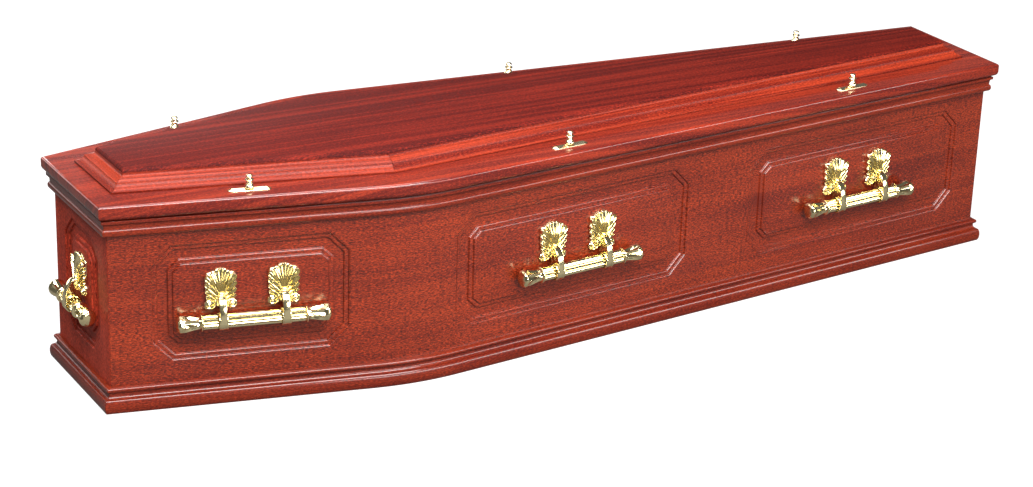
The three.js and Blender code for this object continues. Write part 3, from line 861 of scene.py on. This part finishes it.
def make_raised_panel():
    outer = RAISED_COVE_WIDTH + RAISED_FILLET_WIDTH + RAISED_SLOPE_WIDTH
    top = LID_TOP + RAISED_HEIGHT
    low = top - RAISED_PANEL
    edge = [(outer, low), (outer + 0.0003, low + 0.0012)]
    edge += curve_points(
        edge[-1], (outer + RAISED_PANEL_EDGE * 0.25, top - 0.0025),
        (outer + RAISED_PANEL_EDGE * 0.6, top - 0.0004), (outer + RAISED_PANEL_EDGE, top), 8,
    )
    rings = [[(*p, height) for p in raised_corners(inward)] for inward, height in edge]
    panel = closed_solid("raised_panel", rings)
    map_grain(panel, lambda co: (co.x + 5.3, co.y + 0.7))
    dress(panel, "mahogany_lid", top_wood, "lid_top_panel")


# Handle castings. Local X runs along the wall, Y out of it, Z up from the bar's axis.

BAR_OFFSET = 0.020
BAR_RADIUS = 0.0125
BAR_LENGTH = 0.276
END_BAR_LENGTH = 0.166
BAR_HEIGHT = PANEL_MIDDLE - 0.033
BAR_REEDS = 11
REED_DEPTH = 0.0030
FERRULE_SCOOPS = 8
SCOOP_DEPTH = 0.0040
FERRULE_LENGTH = 0.042
FERRULE_RADIUS = 0.016
FERRULE_NECK = 0.011
FERRULE_DOME = 0.007
COLLAR_RADIUS = 0.0155
COLLAR_WIDTH = 0.004
ARM_SPACING = 0.112
ARM_WIDTH = 0.013
ARM_THICKNESS = 0.0034
WEB = 0.004
RING_RADIUS = 0.0165
RING_BEAD = 0.0017
RING_BEAD_PLACE = 0.0068
PLATE_BOTTOM = 0.0175
PLATE_TOP = 0.0945
PLATE_OUTLINE = [
    (0.0, 0.0935), (0.0070, 0.0925), (0.0125, 0.0890), (0.0180, 0.0865), (0.0245, 0.0845),
    (0.0280, 0.0780), (0.0275, 0.0700), (0.0275, 0.0600), (0.0250, 0.0500), (0.0220, 0.0400),
    (0.0270, 0.0310), (0.0270, 0.0220), (0.0205, 0.0185), (0.0140, 0.0205), (0.0080, 0.0235),
    (0.0, 0.0240),
]
KNOT = 0.045
FAN_TIPS = [(0.0, 0.0935), (0.0074, 0.0922), (0.0142, 0.0885)]
LEAF_FOOT = 0.0030
LEAF_LIP = 0.0009
LEAF_STEPS = 14
LEAF_TIP_STEPS = 8
LEAF_REACH = 0.02
# A leaf's rim: spread of its lip and drop to its foot; then shares from the rim to the midrib
LEAF_RIM = ((1.0, 1.0), (0.75, 0.35), (0.35, 0.06))
LEAF_HOLLOW = (0.0, 0.12, 0.24, 0.42, 0.65, 0.85, 1.0)
VOLUTE_EYE = (0.0205, 0.0262)
VOLUTE_START = radians(100)
VOLUTE_TURNS = 1.6
VOLUTE_STEPS = 40
# From the knot to a volute: across, out of the plate, up
VOLUTE_LINK = [
    (0.0050, 0.0075, 0.0340), (0.0085, 0.0070, 0.0290), (0.0120, 0.0060, 0.0235),
    (0.0165, 0.0050, 0.0195),
]
TUBE_SIDES = 10
HOOP_STEPS = 40
# The plate under the leaves: share of its outline and height above the wall
BACKING = (
    (1.0, GAP), (1.0, 0.0022), (0.985, 0.0032), (0.95, 0.0040), (0.8, 0.0050), (0.4, 0.0056),
    (0.02, 0.0058),
)
# Right-hand leaves from the top: points on the plate, heights, half widths, depth of hollow
LEAVES = [
    (
        [(0.0048, 0.0475), (0.0105, 0.0600), (0.0175, 0.0715), (0.0262, 0.0815)],
        [0.0112, 0.0116, 0.0124, 0.0100], [0.0010, 0.0024, 0.0046, 0.0056], 0.0062,
    ),
    (
        [(0.0048, 0.0430), (0.0105, 0.0500), (0.0178, 0.0585), (0.0275, 0.0672)],
        [0.0104, 0.0104, 0.0106, 0.0086], [0.0009, 0.0021, 0.0034, 0.0037], 0.0050,
    ),
    (
        [(0.0070, 0.0370), (0.0125, 0.0420), (0.0190, 0.0480), (0.0272, 0.0545)],
        [0.0098, 0.0096, 0.0096, 0.0080], [0.0008, 0.0018, 0.0029, 0.0031], 0.0045,
    ),
    (
        [(0.0100, 0.0320), (0.0150, 0.0355), (0.0200, 0.0392), (0.0262, 0.0432)],
        [0.0092, 0.0090, 0.0088, 0.0076], [0.0007, 0.0015, 0.0022, 0.0024], 0.0038,
    ),
]


def stretch(values, t):
    """The value at a share t along a list of evenly spaced values."""
    place = t * (len(values) - 1)
    k = min(int(place), len(values) - 2)
    return values[k] + (values[k + 1] - values[k]) * (place - k)


def leaf(shape, points, lifts, widths, hollow):
    """A spoon-shaped leaf on the plate. It follows points (x, up) at its height lifts, with its
    half widths, and ends in a round tip; hollow is the depth inside its raised rim."""
    path = smooth_path([(x, 0, up) for x, up in points], 12)
    rounding = min(1.0, widths[-1] / lengths(path)[-1])
    stations = [((1 - rounding) * i / LEAF_STEPS, 1.0) for i in range(LEAF_STEPS)]
    for i in range(LEAF_TIP_STEPS + 1):
        angle = pi / 2 * i / LEAF_TIP_STEPS
        stations.append((1 - rounding + rounding * sin(angle), cos(angle)))
    left = []
    right = []
    for t, share in stations:
        near, spot, far = (
            Vector([stretch([p[k] for p in path], place) for k in range(3)])
            for place in (max(t - LEAF_REACH, 0), t, min(t + LEAF_REACH, 1))
        )
        way = (far - near).normalized()
        side = Vector((way.z, 0, -way.x)) * stretch(widths, t) * share
        depth = hollow * min(1.0, 0.25 + 2 * t) * share ** 0.5
        left.append((spot, spot - side, stretch(lifts, t), depth))
        right.append((spot, spot + side, stretch(lifts, t), depth))
    outline = left + right[::-1][1:]
    last = len(outline) - 1
    rows = []
    for spread, drop in LEAF_RIM:
        row = []
        for i, (spot, edge, lift, _) in enumerate(outline):
            way = outline[min(i + 1, last)][1] - outline[max(i - 1, 0)][1]
            out = Vector((-way.z, 0, way.x)).normalized() * LEAF_LIP * spread
            if out.dot(edge - spot) < 0:
                out = -out
            row.append((edge.x + out.x, lift - (lift - LEAF_FOOT) * drop, edge.z + out.z))
        rows.append(row)
    for share in LEAF_HOLLOW:
        row = []
        for spot, edge, lift, depth in outline:
            point = edge.lerp(spot, share)
            sink = depth * sin(pi / 2 * max(0.0, share - 0.1) / 0.9)
            row.append((point.x, lift - sink, point.z))
        rows.append(row)
    shape.grid(rows)


def tube(shape, path, radii):
    """A round bar along a path."""
    rows = []
    last = len(path) - 1
    for i, (point, radius) in enumerate(zip(path, radii)):
        way = (Vector(path[min(i + 1, last)]) - Vector(path[max(i - 1, 0)])).normalized()
        across = way.cross(Vector((0, 1, 0))).normalized()
        lift = across.cross(way).normalized()
        rows.append([
            tuple(Vector(point) + (across * (radius * c) + lift * (radius * s)))
            for c, s in circle(TUBE_SIDES)
        ])
    shape.solid(rows)


def ball(shape, centre, radii, sides, rings):
    """A swelling with one pole towards the wall."""
    x, out, up = centre
    rows = []
    for r in range(rings + 1):
        polar = pi * (r / rings * 0.98 + 0.01)
        wide, high = radii[0] * sin(polar), radii[2] * sin(polar)
        far = out + radii[1] * cos(polar)
        rows.append([(x + wide * c, far, up + high * s) for c, s in circle(sides)])
    shape.solid(rows)


def add_backing(shape):
    """The plate under the leaves, with a softly rounded edge."""
    half = smooth_path([(x, 0, up) for x, up in PLATE_OUTLINE], 5)
    outline = [(x, up) for x, _, up in half] + [(-x, up) for x, _, up in reversed(half[1:-1])]
    middle = (PLATE_BOTTOM + PLATE_TOP) / 2
    rows = [
        [(x * share, out, middle + (up - middle) * share) for x, up in outline]
        for share, out in BACKING
    ]
    shape.solid(rows)


def add_fan(shape):
    """Hollow flutes that spread from the knot to a domed top."""
    for i in (-2, 2, -1, 1, 0):
        x, up = FAN_TIPS[abs(i)]
        x *= 1 if i > 0 else -1
        lift = 0.0128 - 0.0005 * abs(i)
        leaf(
            shape,
            [(0.0011 * i, KNOT - 0.001), (x * 0.46, KNOT + (up - KNOT) * 0.5), (x, up)],
            [lift, lift + 0.0004, lift - 0.0050], [0.0007, 0.0021, 0.0034], 0.0028,
        )


def add_leaves(shape):
    """On each side: a broad curl beside the fan, and three shorter leaves below it."""
    for side in (-1, 1):
        for points, lifts, widths, hollow in LEAVES:
            leaf(shape, [(side * x, up) for x, up in points], lifts, widths, hollow)


def add_volutes(shape):
    """A spiral scroll at each lower corner, with a small boss in its eye."""
    eye_x, eye_up = VOLUTE_EYE
    for side in (-1, 1):
        path = []
        radii = []
        for i in range(VOLUTE_STEPS + 1):
            t = i / VOLUTE_STEPS
            angle = VOLUTE_START - 2 * pi * VOLUTE_TURNS * t
            distance = 0.0064 * (1 - t) + 0.0014
            x = side * (eye_x + distance * cos(angle))
            path.append((x, 0.0060 + 0.0030 * t, eye_up + distance * sin(angle)))
            radii.append(0.0017 * (1 - 0.4 * t))
        tube(shape, path, radii)
        ball(shape, (side * eye_x, 0.0085, eye_up), (0.0020, 0.0026, 0.0020), 12, 8)
        ball(shape, (side * eye_x, 0.0030, eye_up), (0.0086, 0.0036, 0.0084), 20, 8)
        link = smooth_path([(side * x, out, up) for x, out, up in VOLUTE_LINK], 5)
        tube(shape, link, [0.0022] * len(link))
    ball(shape, (0.0, 0.0030, 0.0320), (0.0120, 0.0062, 0.0125), 24, 10)


def smooth_path(points, steps):
    """A smooth line through points."""
    corners = [Vector(p) for p in points]
    ends = [corners[0] * 2 - corners[1]] + corners + [corners[-1] * 2 - corners[-2]]
    path = []
    for i in range(1, len(ends) - 2):
        a, b, c, d = ends[i - 1:i + 3]
        for k in range(steps):
            t = k / steps
            path.append(tuple(
                0.5 * (2 * b + (c - a) * t + (2 * a - 5 * b + 4 * c - d) * t ** 2
                       + (3 * b - a - 3 * c + d) * t ** 3)
            ))
    path.append(tuple(corners[-1]))
    return path


def strap(shape, path, half_width, thickness):
    """A band along a path of points (out, up), with rounded edges and a hollow down its face."""
    edge = thickness / 2
    section = arc_points((half_width - edge, 0), edge, -pi / 2, pi / 2, 6)
    section += [(0.35 * half_width, edge), (0.0, edge * 0.55), (-0.35 * half_width, edge)]
    section += arc_points((edge - half_width, 0), edge, pi / 2, pi * 3 / 2, 6)
    last = len(path) - 1
    closed = (Vector(path[0]) - Vector(path[last])).length < 1e-6
    rows = []
    for i in range(last if closed else last + 1):
        before = path[last - 1 if closed and not i else max(i - 1, 0)]
        way = (Vector(path[min(i + 1, last)]) - Vector(before)).normalized()
        out, up = path[i]
        rows.append([(x, out + way.y * lift, up - way.x * lift) for x, lift in section])
    if closed:
        rows.append(rows[0])
    shape.grid(rows, wrap=True, close_ends=not closed)


def hoop(shape, x, centre_radius, radius):
    """A round ring about the bar."""
    section = [(x + radius * c, centre_radius + radius * s) for c, s in circle(TUBE_SIDES)]
    turns = circle(HOOP_STEPS)
    rows = []
    for c, s in turns + turns[:1]:
        rows.append([(at, BAR_OFFSET + far * c, far * s) for at, far in section])
    shape.grid(rows, wrap=True)


def add_arm(shape):
    """A strap that leaves the knot, turns down and rings the bar, on a thin web."""
    centre = RING_RADIUS - ARM_THICKNESS / 2
    start = (0.0130, KNOT)
    reach = BAR_OFFSET + centre
    axis = (BAR_OFFSET, 0)
    drop = curve_points(start, (0.022, KNOT + 0.001), (reach, 0.030), (reach, 0.002), 16)
    turn = arc_points(axis, centre - 0.0004, 0, -2 * pi, 40)
    strap(shape, [start] + drop, ARM_WIDTH / 2, ARM_THICKNESS)
    strap(shape, turn, ARM_WIDTH / 2 + 0.0010, ARM_THICKNESS - 0.0008)
    for x in (-RING_BEAD_PLACE, RING_BEAD_PLACE):
        hoop(shape, x, RING_RADIUS - RING_BEAD, RING_BEAD)
    web = [(WEB, KNOT - 0.003)] + [(o - 0.001, u - 0.001) for o, u in [start] + drop]
    web += arc_points(axis, RING_RADIUS - 0.001, 0.2, -0.1, 2)
    web += arc_points(axis, BAR_RADIUS + GAP, 0, pi, 12)
    web += curve_points(
        (BAR_OFFSET - RING_RADIUS, 0), (BAR_OFFSET - RING_RADIUS, PLATE_BOTTOM),
        (0.006, PLATE_BOTTOM + 0.004), (WEB, PLATE_BOTTOM + 0.006), 6,
    )
    sides = [[(x, out, up) for out, up in web] for x in (-WEB, WEB)]
    shape.solid(sides)
    ball(shape, (0, 0.0125, KNOT), (0.0078, 0.0042, 0.0030), 16, 10)
    ball(shape, (0, 0.0120, KNOT + 0.0042), (0.0050, 0.0034, 0.0024), 16, 10)


def make_casting():
    shape = Shape()
    for add in (add_backing, add_fan, add_leaves, add_volutes, add_arm):
        add(shape)
    return shape.made("casting")


def bar_stations(length):
    """Places along half a bar: distance from its middle, radius, depth of the valleys between
    its reeds, depth of the scoops in its ferrule."""
    half = length / 2
    neck = half - FERRULE_LENGTH
    grip = neck - COLLAR_WIDTH - 0.0014
    stations = [(grip - 0.0006, BAR_RADIUS, REED_DEPTH, 0), (grip, BAR_RADIUS - 0.0006, 0, 0)]
    middle = neck - 0.0005 - COLLAR_WIDTH / 2
    for k in range(9):
        angle = pi * k / 8
        swell = (COLLAR_RADIUS - BAR_RADIUS) * sin(angle) ** 0.7
        stations.append((middle - COLLAR_WIDTH / 2 * cos(angle), BAR_RADIUS + swell, 0, 0))
    start = neck + 0.0004
    flare = half - FERRULE_DOME - start
    for k in range(17):
        t = k / 16
        radius = FERRULE_NECK + (FERRULE_RADIUS - FERRULE_NECK) * sin(pi * t / 2) ** 2
        stations.append((start + flare * t, radius, 0, SCOOP_DEPTH * sin(pi * t ** 0.8)))
    for k in range(1, 10):
        angle = pi / 2 * k / 9
        radius = max(FERRULE_RADIUS * cos(angle) ** 0.7, 0.0004)
        scoop = 0.0009 * sin(2 * angle)
        stations.append((start + flare + FERRULE_DOME * sin(angle), radius, 0, scoop))
    return stations


def make_bar(name, length):
    half = bar_stations(length)
    whole = [(-at, *rest) for at, *rest in reversed(half)] + half
    sides = BAR_REEDS * FERRULE_SCOOPS
    rings = []
    for at, radius, valley, scoop in whole:
        ring = []
        for k in range(sides):
            angle = 2 * pi * k / sides
            here = radius - valley * (1 - abs(sin(angle * BAR_REEDS / 2)) ** 1.35)
            here -= scoop * abs(sin(angle * FERRULE_SCOOPS / 2)) ** 1.1
            ring.append((at, BAR_OFFSET + here * cos(angle), here * sin(angle)))
        rings.append(ring)
    return closed_solid(name, rings)


def placed_copy(source, name, matrix, material, node):
    item = placed(name, source.data)
    item.matrix_world = matrix
    dress(item, "brass", material, node)


def make_handles():
    casting = make_casting()
    side_bar = make_bar("side_bar", BAR_LENGTH)
    end_bar = make_bar("end_bar", END_BAR_LENGTH)
    pair = ((-ARM_SPACING / 2, "_1"), (ARM_SPACING / 2, "_2"))
    handles = [
        (f"{place}_{side}", spot, side_bar, pair)
        for side, mirror in (("left", False), ("right", True))
        for place, (_, spot) in zip(("shoulder", "middle", "foot"), side_panels(mirror))
    ]
    for place, panel in (("head_end", HEAD_PANEL), ("foot_end", FOOT_PANEL)):
        handles.append((place, panel[1], end_bar, ((0, ""),)))
    for place, spot, bar, arms in handles:
        at_bar = spot @ Matrix.Translation((0, 0, BAR_HEIGHT))
        placed_copy(bar, f"bar_{place}", at_bar, brass, f"handle_bar_{place}")
        for along, suffix in arms:
            at_arm = at_bar @ Matrix.Translation((along, 0, 0))
            arm = place + suffix
            placed_copy(casting, f"casting_{arm}", at_arm, cast_brass, f"handle_plate_{arm}")
    for source in (casting, side_bar, end_bar):
        bpy.data.objects.remove(source)


# Lid screws

HEAD_SCREW = 0.248
MIDDLE_SCREW = {"right": 0.871, "left": 0.968}
FOOT_SCREW = {"right": 0.355, "left": 0.290}
SCREW_INSET = 0.024
SCREW_LENGTH = 0.078
SCREW_WIDTH = 0.018
SCREW_THICKNESS = 0.004
SCREW_POINT = 0.011
FINIAL_HEIGHT = 0.024
FINIAL_RADIUS = 0.0085
FINIAL_SIDES = 24
# Steps from the plate's rim up to its ridge: distance inside the rim, height
SCREW_SECTION = (
    (0.0, 0.0), (0.0, 0.0010), (0.0003, 0.0014), (0.0009, 0.0017), (0.0040, 0.0027),
    (0.0078, 0.0038), (0.0086, 0.0040),
)
# Shares of the finial's radius and height
FINIAL_PROFILE = (
    (0.92, 0.0), (0.99, 0.04), (1.0, 0.10), (0.94, 0.17), (0.80, 0.23), (0.64, 0.27),
    (0.62, 0.29), (0.74, 0.31), (0.78, 0.34), (0.74, 0.37), (0.60, 0.39), (0.54, 0.43),
    (0.56, 0.50), (0.70, 0.55), (0.88, 0.58), (0.93, 0.61), (0.88, 0.64), (0.68, 0.67),
    (0.46, 0.70), (0.42, 0.74), (0.50, 0.78), (0.66, 0.82), (0.72, 0.87), (0.68, 0.93),
    (0.50, 0.98), (0.26, 1.0), (0.02, 0.995),
)


def make_screw_plate():
    """A narrow plate with pointed ends that rises to a ridge along its middle."""
    shoulder = SCREW_LENGTH / 2 - SCREW_POINT
    rings = []
    for inset, height in SCREW_SECTION:
        tip = SCREW_LENGTH / 2 - inset * 1.2
        half = SCREW_WIDTH / 2 - inset
        start = (shoulder, -half)
        point = [start] + curve_points(
            start, (shoulder + SCREW_POINT * 0.55, -half), (tip, -half * 0.5), (tip, 0), 8
        )
        end = point + [(x, -y) for x, y in reversed(point[:-1])]
        rings.append([(x, y, height) for x, y in end + [(-x, -y) for x, y in end]])
    return closed_solid("screw_plate", rings)


def make_finial():
    """Turned finial: a round foot, a ringed waist, a broad ring and a cupped crown."""
    return closed_solid("finial", [
        [(radius * FINIAL_RADIUS * c, radius * FINIAL_RADIUS * s, height * FINIAL_HEIGHT)
         for c, s in circle(FINIAL_SIDES)]
        for radius, height in FINIAL_PROFILE
    ])


def make_screws():
    outward = LID_OVERHANG - LID_EDGE_ROUND - SCREW_INSET
    plate = make_screw_plate()
    finial = make_finial()
    plate_z = LID_TOP + GAP
    finial_z = plate_z + SCREW_THICKNESS + GAP
    for side, sign in (("left", 1), ("right", -1)):
        for place, x, plane, angle in (
            ("head", HEAD_SCREW - HALF_LENGTH, head_plane_y, FLARE),
            ("middle", MIDDLE_SCREW[side] - HALF_LENGTH, foot_plane_y, -TAPER),
            ("foot", HALF_LENGTH - FOOT_SCREW[side], foot_plane_y, -TAPER),
        ):
            for source, name, z in ((plate, "plate", plate_z), (finial, "finial", finial_z)):
                spot = Matrix.Translation((x, sign * plane(x, outward), z))
                spot = spot @ Matrix.Rotation(sign * angle, 4, "Z")
                node = f"{name}_{place}_{side}"
                placed_copy(source, node, spot, pale_brass, f"screw_{node}")
    for source in (plate, finial):
        bpy.data.objects.remove(source)


# Floor and light

FLOOR_SEEN = (0.12, 0.12, 0.12)
FLOOR_BOUNCE = (0.09, 0.087, 0.084)
FLOOR_GLOW = (0.93, 0.93, 0.93)
FLOOR_HALF = 40.0
BACKDROP_STRENGTH = 0.12
# Place, aim, size and power of each light
LIGHTS = {
    "overhead": ((-0.7, 0.6, 3.1), (-0.5, 0, 0.2), (3.4, 2.4), 205),
    "front": ((2.2, -5.0, 1.5), (0.2, 0, 0.1), (6.0, 1.0), 330),
    "back": ((-1.0, 5.0, 1.1), (0, 0, 0.2), (5.0, 1.2), 90),
    "head_fill": ((-4.5, 0.3, 1.3), (-0.9, 0, 0.2), (1.6, 1.6), 9),
    "key": ((-0.8, -2.0, 2.4), (-0.25, 0, 0.3), (3.2, 1.2), 300),
}


def make_floor():
    signs = ((-1, -1), (1, -1), (1, 1), (-1, 1))
    corners = [(FLOOR_HALF * x, FLOOR_HALF * y, 0) for x, y in signs]
    floor = new_object("floor", corners, [(0, 1, 2, 3)])
    material, tree, shader = new_material("pale_floor")
    ray = add_node(tree, "LightPath", {}).outputs["Is Camera Ray"]
    fill(tree, shader, {
        "Base Color": mixed(tree, ray, FLOOR_BOUNCE, FLOOR_SEEN),
        "Emission Color": mixed(tree, ray, (0, 0, 0), FLOOR_GLOW),
        "Emission Strength": 1.0, "Roughness": 0.9, "Specular IOR Level": 0.1,
    })
    floor.data.materials.append(material)


def area_light(name, place, target, size, power):
    light = bpy.data.lights.new(name, "AREA")
    light.shape = "RECTANGLE"
    light.size, light.size_y = size
    light.energy = power
    holder = placed(name, light)
    holder.location = place
    aim = Vector(target) - Vector(place)
    holder.rotation_euler = aim.to_track_quat("-Z", "Y").to_euler()


def make_lights():
    world = bpy.data.worlds.new("studio")
    bpy.context.scene.world = world
    world.use_nodes = True
    backdrop = world.node_tree.nodes["Background"]
    fill(world.node_tree, backdrop, {"Color": (1, 1, 1), "Strength": BACKDROP_STRENGTH})
    for name, settings in LIGHTS.items():
        area_light(name, *settings)
    bpy.context.scene.view_settings.view_transform = "Standard"


make_floor()
make_lights()
make_walls()
make_moulding_round("plinth", plinth_profile())
make_moulding_round("cornice", cornice_profile())
make_lid_board()
make_raised_moulding()
make_raised_panel()
make_handles()
make_screws()

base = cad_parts["base_board"]
base.data.materials.clear()
base.data.materials.append(inside_wood)
